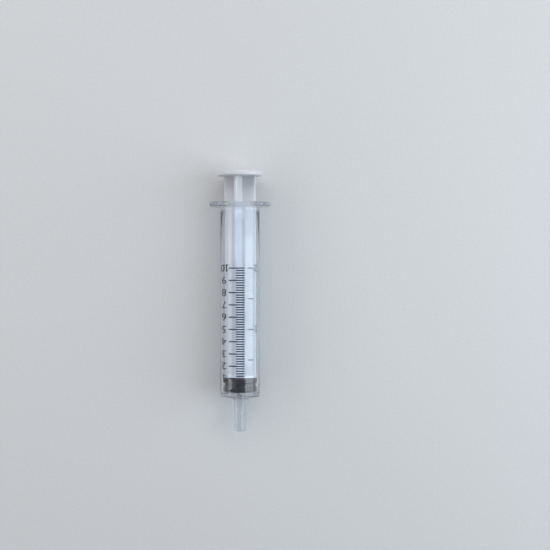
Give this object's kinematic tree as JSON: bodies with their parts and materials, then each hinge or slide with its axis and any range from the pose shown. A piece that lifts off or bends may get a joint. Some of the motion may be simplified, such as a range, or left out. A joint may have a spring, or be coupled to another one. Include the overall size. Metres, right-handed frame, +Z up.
{
  "type": "oral syringe",
  "caption": "Clear oral dosing syringe with a tapered nozzle, finger flange, printed millilitre scale and a twistable plunger with a black rubber stopper.",
  "frame": {"origin": "centre of the syringe's footprint as it lies on its flange flat, with the plunger home", "axes": "+Y along the syringe's axis from the nozzle to the thumb rest, +Z up through the printed scale, +X along one finger wing"},
  "size_m": [0.0272, 0.115, 0.0198],
  "materials": {
    "clear_plastic": "clear injection-moulded polypropylene, faintly blue and slightly hazy, glossy",
    "natural_plastic": "uncoloured translucent polypropylene, milky white, satin",
    "black_rubber": "smooth moulded rubber, near black, with a thin film of silicone oil",
    "scale_ink": "dark printing ink"
  },
  "bodies": {
    "barrel": {"barrel": "clear_plastic", "graduation_long_lines": "scale_ink", "graduation_short_lines": "scale_ink", "graduation_numerals": "scale_ink", "spoon_measure_marks": "scale_ink"},
    "stopper": {"stopper": "black_rubber"},
    "plunger": {"plunger_rod": "natural_plastic"}
  },
  "joints": [
    {"name": "plunger_slide", "type": "slide", "parent": "barrel", "child": "stopper", "axis": [0, 1, 0], "range_m": [0, 0.0733]},
    {"name": "rod_twist", "type": "hinge", "parent": "stopper", "child": "plunger", "pos_m": [0, 0, 0.0099], "axis": [0, 1, 0], "continuous": true}
  ]
}
